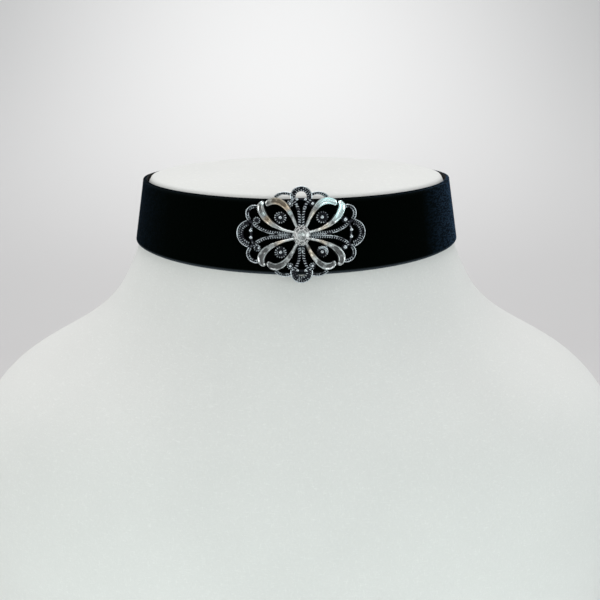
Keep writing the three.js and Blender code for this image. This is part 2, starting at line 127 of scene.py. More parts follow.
def tint(name, description, default):
    return bpy.props.FloatVectorProperty(
        name=name, description=description, default=default, subtype="COLOR"
    )


class NeckSizes(bpy.types.PropertyGroup):
    """The neck where the ribbon lies."""

    half_width: metres("Half-width", "At the middle of the ribbon", 0.0552)
    taper: number("Taper", "Growth of the half-width for each metre down", 0.195)
    front_share: number("Front share", "Front depth over half-width", 0.95)
    back_share: number("Back share", "Back depth over half-width", 0.75)
    power: number("Power", "Of the section's curve, where 2 is an ellipse", 1.9)
    axis_y: metres("Axis", "The neck's axis behind the base's middle", 0.013)
    ribbon_top: metres("Ribbon's top", "Height of the neck at it", 0.206)


class RibbonSizes(bpy.types.PropertyGroup):
    """The velvet ribbon."""

    width: metres("Width", "Edge to edge", 0.022)
    ground: metres("Ground", "Thickness of the woven ground", 0.0005)
    pile: metres("Pile", "Height of the pile on the ground", 0.0007)
    selvage: metres("Selvage", "Bare woven edge on each side", 0.0004)
    gap: metres("Gap", "To the neck", 0.0003)
    opening: metres("Opening", "Between the two ends", 0.007)
    lift: metres("Lift", "Of the ends over the clasp's inner wall", 0.0009)
    colour: tint("Colour", "Of the pile", (0.0004, 0.0014, 0.0008))
    # Painted sheen: the colour that the pile takes where it is seen edge-on.
    sheen: tint("Sheen", "Of the pile's tips", (0.038, 0.078, 0.14))
    # Painted light at the pile's silhouettes and along its lower edge.
    painted_rim_light: tint("Fuzz", "Of the pile seen along its edge", (0.1, 0.125, 0.145))
    ground_colour: tint("Ground's colour", "Of the woven back", (0.03, 0.028, 0.026))


class FiligreeSizes(bpy.types.PropertyGroup):
    """The pierced silver front."""

    out: metres("Out", "Its back face from the neck", 0.0019)
    up: metres("Up", "Its centre above the ribbon's middle", 0.0007)
    aside: metres("Aside", "Its centre beside the neck's", 0.0006)
    plate: metres("Plate", "Thickness of the pierced plate", 0.0008)
    rim: metres("Rim", "Height of the border's rim", 0.00125)
    petal: metres("Petal", "Height of the petals", 0.00175)
    bright: tint("Bright", "Edges of the petals", (0.64, 0.69, 0.69))
    rubbed: tint("Rubbed", "Tops of the grains and rims", (0.55, 0.615, 0.645))
    # Painted reflections: a warm gold one at the upper left and a bright cool one at the upper right of the
    # silver.
    warm_reflection: tint("Golden", "Lacquer at the upper left", (0.95, 0.74, 0.48))
    cool_reflection: tint("Bluish", "Lacquer at the upper right", (0.8, 1.0, 1.0))
    dark: tint("Dark", "Silver in the recesses", (0.026, 0.028, 0.035))
    dish: tint("Dish", "Silver in the petals' dishes", (0.12, 0.125, 0.125))


class StoneSizes(bpy.types.PropertyGroup):
    """The cut stone."""

    width: metres("Width", "Across its girdle", 0.005)
    height: metres("Height", "Up its girdle", 0.0058)
    seat: metres("Seat", "Its girdle from the neck", 0.0039)


class BustLooks(bpy.types.PropertyGroup):
    """The bust's cloth."""

    colour: tint("Colour", "Of the cloth", (0.738, 0.756, 0.736))
    padding: number("Padding", "Share that the cloth adds to the cap's height", 0.2)


class StudioLooks(bpy.types.PropertyGroup):
    """Floor, lights and camera."""

    floor: tint("Floor", "Pale floor and backdrop", (0.58, 0.58, 0.58))
    eye_y: metres("Camera forward", "Its place along Y", -0.2253)
    eye_z: metres("Camera height", "Above the floor", 0.2395)
    pitch: angle_of("Pitch", "Looking down by", 0.3305)
    roll: angle_of("Roll", "Turned clockwise by", 0.004)
    aside: angle_of("Aside", "Round the neck, to its right", 0.014)
    lens: number("Lens", "Focal length in millimetres", 39.0)


GROUPS = {
    "choker_neck": NeckSizes,
    "choker_ribbon": RibbonSizes,
    "choker_filigree": FiligreeSizes,
    "choker_stone": StoneSizes,
    "choker_bust": BustLooks,
    "choker_studio": StudioLooks,
}


# Selecting and applying


def pick(*objects):
    """Selects these objects alone and makes the first one active."""
    bpy.ops.object.select_all(action="DESELECT")
    for obj in objects:
        obj.select_set(True)
    bpy.context.view_layer.objects.active = objects[0]


def modify(obj, kind, **settings):
    """Adds a modifier and applies it."""
    pick(obj)
    modifier = obj.modifiers.new(kind.title(), kind)
    for key, value in settings.items():
        setattr(modifier, key, value)
    bpy.ops.object.modifier_apply(modifier=modifier.name)


def apply_place():
    """Applies the picked object's place, turn and size to its mesh."""
    bpy.ops.object.transform_apply(location=True, rotation=True, scale=True)


def ease(obj, width, segments, degrees=30, **settings):
    """Rounds the edges that turn by more than an angle."""
    limits = {"limit_method": "ANGLE", "angle_limit": math.radians(degrees)}
    modify(obj, "BEVEL", width=width, segments=segments, **limits, **settings)


def join(objects, name):
    pick(*objects)
    if len(objects) > 1:
        bpy.ops.object.join()
    made = bpy.context.object
    made.name = name
    made.data.name = name
    return made


def edit(obj, *steps):
    """Runs steps in edit mode on what is selected of a piece."""
    pick(obj)
    bpy.ops.object.mode_set(mode="EDIT")
    for step in steps:
        step()
    bpy.ops.object.mode_set(mode="OBJECT")


def edit_all(obj, *steps):
    edit(obj, lambda: bpy.ops.mesh.select_all(action="SELECT"), *steps)


def deselect(obj, kind):
    """Leaves nothing of a piece selected, ready to select faces or edges."""
    edit(
        obj,
        lambda: bpy.ops.mesh.select_mode(type=kind),
        lambda: bpy.ops.mesh.select_all(action="DESELECT"),
    )


def outwards(obj):
    edit_all(
        obj,
        lambda: bpy.ops.mesh.remove_doubles(threshold=1e-7),
        lambda: bpy.ops.mesh.normals_make_consistent(inside=False),
    )


def smooth(obj, degrees):
    pick(obj)
    bpy.ops.object.shade_smooth_by_angle(angle=math.radians(degrees))


def dress(obj, *materials):
    obj.data.materials.clear()
    for made in materials:
        obj.data.materials.append(made)


def settle(obj, slot, *nodes):
    """A finished piece: it rides on the part and stands for its CAD nodes."""
    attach(obj, "root")
    if nodes:
        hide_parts(*nodes)
    return obj


# The neck's surface


def ribbon_mid():
    neck = bpy.context.scene.choker_neck
    return neck.ribbon_top - bpy.context.scene.choker_ribbon.width / 2 * math.cos(slant())


def slant():
    neck = bpy.context.scene.choker_neck
    return math.atan(neck.taper * neck.front_share)


def on_neck(x, up, out):
    """A place on the front of the neck: x aside, up from the ribbon's middle, out from the neck."""
    neck = bpy.context.scene.choker_neck
    share = neck.front_share
    z = ribbon_mid() + up * math.cos(slant())
    a = neck.half_width + neck.taper * (ribbon_mid() - z)
    x = max(-a, min(a, x))
    y = -share * a * (1 - (abs(x) / a) ** neck.power) ** (1 / neck.power)
    normal = Vector((slope(x, a), slope(y / share, a) / share, neck.taper)).normalized()
    return Vector((x, y + neck.axis_y, z)) + normal * out, normal


def slope(v, a):
    power = bpy.context.scene.choker_neck.power
    return math.copysign((abs(v) / a) ** (power - 1), v)


def lay_on_neck(obj):
    """Bends the flat filigree round the neck, its back face keeping its length."""
    neck = bpy.context.scene.choker_neck
    sizes = bpy.context.scene.choker_filigree
    drawn_in = neck.half_width / (neck.half_width + sizes.out)
    for vertex in obj.data.vertices:
        x, up, out = vertex.co
        place, _ = on_neck(x * drawn_in + sizes.aside, up + sizes.up, out + sizes.out)
        vertex.co = place
    obj.data.update()


# Node groups and materials


def new_material(name):
    made = bpy.data.materials.new(name)
    made.use_nodes = True
    return made, made.node_tree, made.node_tree.nodes["Principled BSDF"]


def put(shader, values):
    for name, value in values.items():
        shader.inputs[name].default_value = value


def group(name, inputs, outputs):
    """An empty shader group with float or colour sockets, each given as name, kind and default."""
    made = bpy.data.node_groups.new(name, "ShaderNodeTree")
    for socket, kind, default in inputs:
        item = made.interface.new_socket(socket, in_out="INPUT", socket_type=kind)
        item.default_value = default
    for socket, kind in outputs:
        made.interface.new_socket(socket, in_out="OUTPUT", socket_type=kind)
    return made, made.nodes.new("NodeGroupInput"), made.nodes.new("NodeGroupOutput")


FLOAT = "NodeSocketFloat"
COLOUR = "NodeSocketColor"
VECTOR = "NodeSocketVector"


def nap_group():
    """Fine cloth or metal grain: a value and the normal that it gives."""
    if "Nap" in bpy.data.node_groups:
        return bpy.data.node_groups["Nap"]
    inputs = [
        ("Across", FLOAT, 1000.0),
        ("Along", FLOAT, 1000.0),
        ("Detail", FLOAT, 3.0),
        ("Strength", FLOAT, 0.3),
        ("Depth", FLOAT, 0.0002),
    ]
    made, start, end = group("Nap", inputs, [("Value", FLOAT), ("Normal", VECTOR)])
    nodes, links = made.nodes, made.links
    place = nodes.new("ShaderNodeTexCoord")
    scale = nodes.new("ShaderNodeCombineXYZ")
    for axis, source in zip("XYZ", ("Across", "Across", "Along")):
        links.new(start.outputs[source], scale.inputs[axis])
    stretch = nodes.new("ShaderNodeVectorMath")
    stretch.operation = "MULTIPLY"
    links.new(place.outputs["Object"], stretch.inputs[0])
    links.new(scale.outputs[0], stretch.inputs[1])
    noise = nodes.new("ShaderNodeTexNoise")
    noise.inputs["Scale"].default_value = 1.0
    links.new(stretch.outputs[0], noise.inputs["Vector"])
    links.new(start.outputs["Detail"], noise.inputs["Detail"])
    bump = nodes.new("ShaderNodeBump")
    links.new(start.outputs["Strength"], bump.inputs["Strength"])
    links.new(start.outputs["Depth"], bump.inputs["Distance"])
    links.new(noise.outputs["Fac"], bump.inputs["Height"])
    links.new(noise.outputs["Fac"], end.inputs["Value"])
    links.new(bump.outputs["Normal"], end.inputs["Normal"])
    return made


def add_nap(tree, **values):
    made = tree.nodes.new("ShaderNodeGroup")
    made.node_tree = nap_group()
    for key, value in values.items():
        made.inputs[key].default_value = value
    return made


def ramp(tree, source, *stops):
    """A colour ramp of stops, each a place and a grey or a colour."""
    made = tree.nodes.new("ShaderNodeValToRGB")
    while len(made.color_ramp.elements) < len(stops):
        made.color_ramp.elements.new(0.5)
    for element, (place, colour) in zip(made.color_ramp.elements, stops):
        element.position = place
        grey = isinstance(colour, (int, float))
        element.color = (colour, colour, colour, 1) if grey else (*colour, 1)
    tree.links.new(source, made.inputs["Fac"])
    return made.outputs["Color"]


def mix(tree, factor, first, second, blend="MIX"):
    """Mixes two colours, each a socket or a plain colour."""
    made = tree.nodes.new("ShaderNodeMix")
    made.data_type = "RGBA"
    made.blend_type = blend
    for socket, value in ((0, factor), (6, first), (7, second)):
        if isinstance(value, bpy.types.NodeSocket):
            tree.links.new(value, made.inputs[socket])
        elif socket == 0:
            made.inputs[0].default_value = value
        else:
            made.inputs[socket].default_value = (*value, 1)
    return made.outputs[2]


def velvet():
    """Near-black pile with a painted navy sheen where it is seen edge-on, stronger towards the right end,
    and painted light along its lower edge and silhouettes.
    """
    looks = bpy.context.scene.choker_ribbon
    made, tree, shader = new_material("velvet pile")
    nap = add_nap(tree, Across=2400.0, Along=520.0, Detail=2.0, Strength=0.8, Depth=0.0003)
    hatches = add_nap(tree, Across=620.0, Along=2500.0, Detail=2.0)
    edge_on = tree.nodes.new("ShaderNodeLayerWeight")
    edge_on.inputs["Blend"].default_value = 0.32
    # Painted sheen: how far the base colour turns navy where the pile is seen edge-on.
    sheen = ramp(tree, edge_on.outputs["Facing"], (0.3, 0.0), (0.62, 0.35), (0.95, 1.0))
    broken = ramp(tree, hatches.outputs["Value"], (0.45, 0.15), (0.57, 1.0))
    pile = mix(tree, nap.outputs["Value"], tuple(0.4 * c for c in looks.colour), looks.colour[:])
    # lean: the painted sheen grows from the left end of the ribbon to the right.
    lean = ramp(tree, attribute(tree, "lean"), (0.1, 0.15), (0.9, 1.0))
    painted_sheen = mix(tree, 1.0, sheen, broken, "MULTIPLY")
    painted_sheen = mix(tree, 1.0, painted_sheen, lean, "MULTIPLY")
    soft = mix(tree, painted_sheen, pile, looks.sheen[:])
    # Painted light along the lower edge of the pile.
    soft = mix(tree, attribute(tree, "edge"), soft, looks.painted_rim_light[:])
    # Painted rim light where the pile is seen edge-on.
    rim = ramp(tree, edge_on.outputs["Facing"], (0.8, 0.0), (0.98, 1.0))
    tree.links.new(mix(tree, rim, soft, looks.painted_rim_light[:]), shader.inputs["Base Color"])
    tree.links.new(nap.outputs["Normal"], shader.inputs["Normal"])
    put(shader, {
        "Roughness": 1.0,
        "Specular IOR Level": 0.01,
        "Sheen Weight": 0.01,
        "Sheen Roughness": 0.3,
        "Sheen Tint": (0.25, 0.45, 1.0, 1),
    })
    return made


def woven_ground():
    """The ribbon's woven back and its bare edges."""
    looks = bpy.context.scene.choker_ribbon
    made, tree, shader = new_material("woven ground")
    nap = add_nap(tree, Across=3200.0, Along=6000.0, Detail=1.0, Strength=0.8, Depth=0.0002)
    dark = tuple(0.45 * c for c in looks.ground_colour)
    tone = mix(tree, nap.outputs["Value"], dark, looks.ground_colour[:])
    tree.links.new(tone, shader.inputs["Base Color"])
    tree.links.new(nap.outputs["Normal"], shader.inputs["Normal"])
    put(shader, {"Roughness": 0.75, "Specular IOR Level": 0.2})
    return made


def cloth():
    looks = bpy.context.scene.choker_bust
    made, tree, shader = new_material("bust cloth")
    nap = add_nap(tree, Across=1500.0, Along=1500.0, Detail=3.0, Strength=0.35, Depth=0.00025)
    shade = add_nap(tree, Across=28.0, Along=28.0, Detail=4.0)
    fine = tuple(0.93 * c for c in looks.colour)
    thread = mix(tree, nap.outputs["Value"], fine, looks.colour[:])
    soft = ramp(tree, shade.outputs["Value"], (0.3, 0.965), (0.7, 1.0))
    upright = add_nap(tree, Across=2600.0, Along=620.0, Detail=1.0)
    level = add_nap(tree, Across=620.0, Along=2600.0, Detail=1.0)
    for slubs in (upright, level):
        light = ramp(tree, slubs.outputs["Value"], (0.6, 0.95), (0.74, 1.0))
        soft = mix(tree, 1.0, soft, light, "MULTIPLY")
    tree.links.new(mix(tree, 1.0, thread, soft, "MULTIPLY"), shader.inputs["Base Color"])
    tree.links.new(nap.outputs["Normal"], shader.inputs["Normal"])
    put(shader, {"Roughness": 0.9, "Specular IOR Level": 0.2, "Sheen Weight": 0.15})
    return made


def patina_group():
    """Antique finish: a height, worn unevenly, gives a mask from the dark recesses to the rubbed tops."""
    if "Patina" in bpy.data.node_groups:
        return bpy.data.node_groups["Patina"]
    inputs = [("Rise", FLOAT, 1.0), ("Low", FLOAT, 0.4), ("High", FLOAT, 0.7), ("Wear", FLOAT, 0.35)]
    made, start, end = group("Patina", inputs, [("Mask", FLOAT), ("Normal", VECTOR)])
    nodes, links = made.nodes, made.links
    wear = add_nap(made, Across=650.0, Along=650.0, Detail=5.0, Strength=0.1, Depth=0.0001)
    spread = nodes.new("ShaderNodeMath")
    spread.operation = "SUBTRACT"
    links.new(wear.outputs["Value"], spread.inputs[0])
    spread.inputs[1].default_value = 0.5
    worn = nodes.new("ShaderNodeMath")
    worn.operation = "MULTIPLY_ADD"
    links.new(spread.outputs[0], worn.inputs[0])
    links.new(start.outputs["Wear"], worn.inputs[1])
    links.new(start.outputs["Rise"], worn.inputs[2])
    reach = nodes.new("ShaderNodeMapRange")
    reach.interpolation_type = "SMOOTHSTEP"
    links.new(worn.outputs[0], reach.inputs["Value"])
    links.new(start.outputs["Low"], reach.inputs["From Min"])
    links.new(start.outputs["High"], reach.inputs["From Max"])
    links.new(reach.outputs["Result"], end.inputs["Mask"])
    links.new(wear.outputs["Normal"], end.inputs["Normal"])
    return made


def attribute(tree, name):
    made = tree.nodes.new("ShaderNodeAttribute")
    made.attribute_name = name
    return made.outputs["Fac"]


def silver(name, low, high, rough, dark, light):
    """Antique silver: dark below the height low and light above high, both shares of the petals', with
    painted warm and cool reflections where they are stored.
    """
    looks = bpy.context.scene.choker_filigree
    made, tree, shader = new_material(name)
    patina = tree.nodes.new("ShaderNodeGroup")
    patina.node_tree = patina_group()
    tree.links.new(attribute(tree, "rise"), patina.inputs["Rise"])
    patina.inputs["Low"].default_value = low
    patina.inputs["High"].default_value = high
    patina.inputs["Wear"].default_value = 1.0
    # Painted reflections: warm gold patches and bright cool ones, the cool ones also lifting the silver to
    # its light tone.
    tone = attribute(tree, "reflection_tint")
    cool = tree.nodes.new("ShaderNodeMath")
    cool.operation = "MULTIPLY"
    cool.inputs[1].default_value = -1.0
    tree.links.new(tone, cool.inputs[0])
    warm_reflection = ramp(tree, tone, (0.0, 0.0), (1.0, 0.75))
    cool_reflection = ramp(tree, cool.outputs[0], (0.0, 0.0), (0.7, 1.0))
    bright = mix(tree, warm_reflection, light[:], looks.warm_reflection[:])
    bright = mix(tree, cool_reflection, bright, looks.cool_reflection[:])
    rubbed_or_reflecting = tree.nodes.new("ShaderNodeMath")
    rubbed_or_reflecting.operation = "MAXIMUM"
    tree.links.new(patina.outputs["Mask"], rubbed_or_reflecting.inputs[0])
    tree.links.new(cool_reflection, rubbed_or_reflecting.inputs[1])
    mask = rubbed_or_reflecting.outputs[0]
    # The painted warm reflection also tints the dark recesses gold.
    low_tone = mix(tree, warm_reflection, dark[:], tuple(0.28 * c for c in looks.warm_reflection))
    tree.links.new(mix(tree, mask, low_tone, bright), shader.inputs["Base Color"])
    tree.links.new(ramp(tree, mask, (0.0, rough + 0.3), (1.0, rough)), shader.inputs["Roughness"])
    tree.links.new(patina.outputs["Normal"], shader.inputs["Normal"])
    shader.inputs["Metallic"].default_value = 1.0
    return made


def crystal():
    made, tree, shader = new_material("clear stone")
    # Painted light and shade: each facet takes its own stored tone.
    tone = ramp(tree, attribute(tree, "facet"), (0.0, (0.5, 0.53, 0.53)), (1.0, (0.95, 1.0, 1.0)))
    # Painted inner reflections: soft darker and lighter patches across the stone.
    painted_inner_reflections = add_nap(tree, Across=760.0, Along=620.0, Detail=1.0)
    patches = ramp(tree, painted_inner_reflections.outputs["Value"], (0.42, 0.5), (0.54, 1.0))
    tree.links.new(mix(tree, 1.0, tone, patches, "MULTIPLY"), shader.inputs["Base Color"])
    put(shader, {"Roughness": 0.0, "IOR": 1.62, "Transmission Weight": 0.68})
    return made


def foil():
    made, tree, shader = new_material("stone foil")
    # Painted light and shade: each facet of the foil takes its own stored tone.
    tone = ramp(tree, attribute(tree, "facet"), (0.0, (0.15, 0.17, 0.17)), (1.0, (0.85, 0.9, 0.9)))
    tree.links.new(tone, shader.inputs["Base Color"])
    put(shader, {"Metallic": 1.0, "Roughness": 0.12})
    return made


def facet_glint():
    # Painted glints: plain bright white for the eased edges of the facets.
    made, _, shader = new_material("facet edge")
    put(shader, {"Base Color": (1.0, 1.0, 1.0, 1), "Roughness": 0.25})
    return made


def satin_steel():
    made, tree, shader = new_material("satin steel")
    brush = add_nap(tree, Across=400.0, Along=9000.0, Detail=2.0, Strength=0.2, Depth=0.0001)
    tone = ramp(tree, brush.outputs["Value"], (0.3, 0.42), (0.7, 0.62))
    tree.links.new(tone, shader.inputs["Base Color"])
    tree.links.new(brush.outputs["Normal"], shader.inputs["Normal"])
    put(shader, {"Metallic": 1.0, "Roughness": 0.38})
    return made


# Flat work for the filigree


def spline(rows, samples):
    """A smooth path through the rows: points in metres, each with the strip's half-width there."""
    last = len(rows) - 1
    made = []
    for k in range(samples + 1):
        t = last * k / samples
        i = min(int(t), last - 1)
        f = t - i
        before, here = rows[max(i - 1, 0)], rows[i]
        after, beyond = rows[i + 1], rows[min(i + 2, last)]
        point = [
            0.5
            * (
                2 * here[n]
                + (after[n] - before[n]) * f
                + (2 * before[n] - 5 * here[n] + 4 * after[n] - beyond[n]) * f * f
                + (3 * here[n] - before[n] - 3 * after[n] + beyond[n]) * f**3
            )
            for n in range(2)
        ]
        wide = here[2] + (after[2] - here[2]) * f
        made.append((Vector(point) * MM, wide * MM / 2))
    return made


def arc(scallop, inset, wide, turn, samples=24):
    """A path along a border arc, inset from its outer edge, in millimetres."""
    across, up, radius, _, first, last = scallop
    if scallop == FLANK_SCALLOP:
        up += FLANK_REACH[turn[1]]
    made = []
    for k in range(samples + 1):
        angle = math.radians(first + (last - first) * k / samples)
        x, y = across + (radius - inset) * math.cos(angle), up + (radius - inset) * math.sin(angle)
        made.append((Vector((turn[0] * x, turn[1] * y)) * MM, wide * MM / 2))
    return made


def sideways(path, i):
    before, after = path[max(i - 1, 0)][0], path[min(i + 1, len(path) - 1)][0]
    along = (after - before).normalized()
    return Vector((-along.y, along.x))


def beside(path, offset, wide):
    """A path moved sideways, both in millimetres."""
    return [
        (point + sideways(path, i) * offset * MM, wide * MM / 2) for i, (point, _) in enumerate(path)
    ]


def mirrored(rows, turn):
    return [(turn[0] * row[0], turn[1] * row[1], *row[2:]) for row in rows]


def in_quarters(place):
    return [(turn[0] * place[0] * MM, turn[1] * place[1] * MM) for turn in QUARTERS]


def strip(path, height, crown=0.0, dish=0.0, round_end=False):
    """A flat strip along a path, its top at a height: crowned where narrow, dished where wide."""
    across, samples = 8, len(path) - 1
    bpy.ops.mesh.primitive_grid_add(x_subdivisions=samples, y_subdivisions=across, size=2)
    obj = bpy.context.object
    length = [0.0]
    for (a, _), (b, _) in zip(path, path[1:]):
        length.append(length[-1] + (b - a).length)
    for vertex in obj.data.vertices:
        i = round((vertex.co.x + 1) / 2 * samples)
        point, half = path[i]
        wide = max(0.0, min(1.0, (half / MM - 0.5) / 0.3))
        rest = length[-1] - length[i]
        if round_end and rest < half:
            half *= max(0.3, math.sqrt(1 - (1 - rest / half) ** 2))
        v = vertex.co.y
        place = point + sideways(path, i) * v * half
        fall = crown * (1 - wide) * v * v + dish * wide * max(0.0, 1 - (v / DISH_SHARE) ** 4)
        vertex.co = (place.x, place.y, height - fall)
    return obj


def face_up(obj):
    """Turns every face of a flat sheet to face up, as a mirrored path turns its faces over."""
    for face in obj.data.polygons:
        face.select = face.normal.z < 0
    edit(obj, bpy.ops.mesh.flip_normals)


def solid_strips(strips, name, base, bevel, material):
    """Joins flat strips, draws their walls straight down to a base and eases their edges."""
    obj = join(strips, name)
    face_up(obj)
    edit_all(
        obj,
        lambda: bpy.ops.mesh.extrude_region_move(TRANSFORM_OT_translate={"value": (0, 0, -MM)}),
        lambda: bpy.ops.transform.resize(value=(1, 1, 0), center_override=(0, 0, base)),
        lambda: bpy.ops.mesh.select_all(action="SELECT"),
        lambda: bpy.ops.mesh.normals_make_consistent(inside=False),
    )
    if bevel:
        ease(obj, bevel, 2, 50)
    dress(obj, material)
    return obj


def ball(place, radius, height, squash=1.0):
    """A bead whose middle stands at a height."""
    bpy.ops.mesh.primitive_uv_sphere_add(
        segments=14, ring_count=10, radius=radius, location=(place[0], place[1], height)
    )
    bpy.ops.transform.resize(value=(1, 1, squash))
    apply_place()
    return bpy.context.object


def disc(place, radius, height):
    """A low round plate with an eased rim."""
    bpy.ops.mesh.primitive_cylinder_add(
        vertices=28, radius=radius, depth=height, location=(place[0], place[1], height / 2)
    )
    apply_place()
    obj = bpy.context.object
    ease(obj, radius * 0.08, 2)
    return obj


def hoop(place, radius, thick, height):
    """A thin round wire ring."""
    bpy.ops.mesh.primitive_torus_add(
        major_segments=32,
        minor_segments=8,
        major_radius=radius,
        minor_radius=thick,
        location=(place[0], place[1], height),
    )
    apply_place()
    return bpy.context.object


def ring(place, radius, count):
    """A round path that stops one grain short of its start."""
    turns = [2 * math.pi * k / 48 * (count - 1) / count for k in range(49)]
    return [(Vector((place[0] + radius * math.cos(t), place[1] + radius * math.sin(t))), 0) for t in turns]


def grain_nodes():
    """Geometry nodes that string grains along each spline, each stretched and turned alike."""
    made = bpy.data.node_groups.new("Grains on a path", "GeometryNodeTree")
    paths = "NodeSocketGeometry"
    for name, kind in (("Geometry", paths), ("Pitch", FLOAT), ("Size", VECTOR), ("Twist", FLOAT)):
        made.interface.new_socket(name, in_out="INPUT", socket_type=kind)
    made.interface.new_socket("Geometry", in_out="OUTPUT", socket_type=paths)
    nodes, links = made.nodes, made.links
    start, end = nodes.new("NodeGroupInput"), nodes.new("NodeGroupOutput")
    even = nodes.new("GeometryNodeResampleCurve")
    even.mode = "LENGTH"
    links.new(start.outputs["Geometry"], even.inputs["Curve"])
    links.new(start.outputs["Pitch"], even.inputs["Length"])
    grain = nodes.new("GeometryNodeMeshIcoSphere")
    grain.inputs["Subdivisions"].default_value = 2
    grain.inputs["Radius"].default_value = 1.0
    tangent = nodes.new("GeometryNodeInputTangent")
    turn = nodes.new("FunctionNodeAlignRotationToVector")
    turn.axis = "X"
    links.new(tangent.outputs[0], turn.inputs["Vector"])
    lean = nodes.new("ShaderNodeCombineXYZ")
    links.new(start.outputs["Twist"], lean.inputs["Z"])
    twist = nodes.new("FunctionNodeRotateRotation")
    twist.rotation_space = "LOCAL"
    links.new(turn.outputs["Rotation"], twist.inputs["Rotation"])
    links.new(lean.outputs[0], twist.inputs["Rotate By"])
    place = nodes.new("GeometryNodeInstanceOnPoints")
    links.new(even.outputs["Curve"], place.inputs["Points"])
    links.new(grain.outputs["Mesh"], place.inputs["Instance"])
    links.new(twist.outputs["Rotation"], place.inputs["Rotation"])
    links.new(start.outputs["Size"], place.inputs["Scale"])
    real = nodes.new("GeometryNodeRealizeInstances")
    links.new(place.outputs["Instances"], real.inputs["Geometry"])
    links.new(real.outputs["Geometry"], end.inputs["Geometry"])
    return made


def grains(paths, height, pitch, size, material, twist=0.0):
    """Strings of grains along flat paths. size is each grain's half-length, half-width and half-height."""
    curve = bpy.data.curves.new("grain paths", "CURVE")
    curve.dimensions = "3D"
    for path in paths:
        line = curve.splines.new("POLY")
        line.points.add(len(path) - 1)
        for target, (point, _) in zip(line.points, path):
            target.co = (point.x, point.y, height, 1)
    obj = bpy.data.objects.new("grains", curve)
    bpy.context.collection.objects.link(obj)
    modifier = obj.modifiers.new("Grains", "NODES")
    modifier.node_group = bpy.data.node_groups.get("Grains on a path") or grain_nodes()
    items = {i.name: i.identifier for i in modifier.node_group.interface.items_tree if i.in_out == "INPUT"}
    modifier[items["Pitch"]] = pitch * MM
    modifier[items["Size"]] = [v * MM for v in size]
    modifier[items["Twist"]] = math.radians(twist)
    pick(obj)
    bpy.ops.object.convert(target="MESH")
    made = bpy.context.object
    dress(made, material)
    return made


def petals(sizes, polished):
    """The eight polished strips: bright edges round a shallow dish, narrowing to the stone."""
    crown, dish, eased = 0.00042, 0.00045, 0.00012
    made = []
    for side in (1, -1):
        for rows in (UPPER_INNER_PETAL, UPPER_OUTER_PETAL, LOWER_INNER_PETAL, LOWER_OUTER_PETAL):
            path = spline(mirrored(rows, (side, 1)), 60)
            made.append(strip(path, sizes.petal, crown, dish, True))
    obj = solid_strips(made, "petals", 0, eased, polished)
    # Stores where the painted warm and cool reflections lie on the petals.
    paint(obj, "reflection_tint", lambda x, y, z: reflection_tint(x / MM, y / MM))
    return obj


def scallops():
    """Every border arc with the turn that puts it in its place."""
    for turn in QUARTERS:
        yield CORNER_SCALLOP, turn
        yield FLANK_SCALLOP, turn
    for side in (1, -1):
        yield SIDE_SCALLOP, (side, 1)
    yield TOP_SCALLOP, (1, 1)
    yield LOW_SCALLOP, (1, -1)


def border(sizes, worn):
    """The scallops: a thin plate, a bright outer rim, an inner wire and rows of grains between."""
    rim, wire = 0.27, 0.16
    plates, rims, wires, fine, bars = [], [], [], [], []
    for scallop, turn in scallops():
        wide = scallop[3]
        plates.append(strip(arc(scallop, wide / 2, wide - 0.1, turn), sizes.plate * 0.7))
        rims.append(strip(arc(scallop, rim / 2, rim, turn), sizes.rim, 0.0001))
        fine.append(arc(scallop, rim + 0.3, 0, turn))
        if wide > 1.5:
            bars.append(arc(scallop, wide - 0.36, 0, turn))
        else:
            wires.append(strip(arc(scallop, wide - wire / 2, wire, turn), sizes.rim * 0.8, 0.00006))
    return [
        solid_strips(plates, "border plate", 0, 0, worn),
        solid_strips(rims, "border rims", 0, 0.00006, worn),
        solid_strips(wires, "border wires", 0, 0.00004, worn),
        grains(fine, sizes.plate * 0.95, 0.62, (0.165, 0.22, 0.3), worn),
        grains(bars, sizes.plate * 0.95, 0.64, (0.16, 0.33, 0.32), worn),
    ]


def ropes(sizes, worn):
    """The beds of the twisted wires, their bars, a thin smooth wire beside each, and the short links."""
    beds, wires = [], []
    side_bars, upright_bars = {1: [], -1: []}, {1: [], -1: []}
    for turn in QUARTERS:
        outer = turn[0] * turn[1]
        side = spline(mirrored(SIDE_ROPE, turn), 40)
        upright = spline(mirrored(UPRIGHT_ROPE, turn), 30)
        beds += [strip(side, sizes.plate * 0.8), strip(upright, sizes.plate * 0.8)]
        wires.append(strip(beside(side, -0.37 * outer, 0.24), sizes.plate * 1.27, 0.00006))
        side_bars[outer].append(beside(side, 0.12 * outer, 0))
        upright_bars[outer].append(beside(upright, 0.03 * outer, 0))
        for rows in LINKS:
            beds.append(strip(spline(mirrored(rows, turn), 12), sizes.plate * 0.95, 0.0001))
    pieces = [
        solid_strips(beds, "rope beds", 0, 0, worn),
        solid_strips(wires, "rope wires", 0, 0.00004, worn),
    ]
    for lean in (1, -1):
        pieces += [
            grains(side_bars[lean], sizes.plate * 1.08, 0.66, (0.17, 0.38, 0.34), worn, 14 * lean),
            grains(upright_bars[lean], sizes.plate * 1.08, 0.7, (0.185, 0.49, 0.36), worn, 20 * lean),
        ]
    middle = [spline(mirrored(MIDDLE_ROPE, (side, 1)), 20) for side in (1, -1)]
    return [*pieces, grains(middle, sizes.plate, 0.64, (0.165, 0.2, 0.3), worn)]


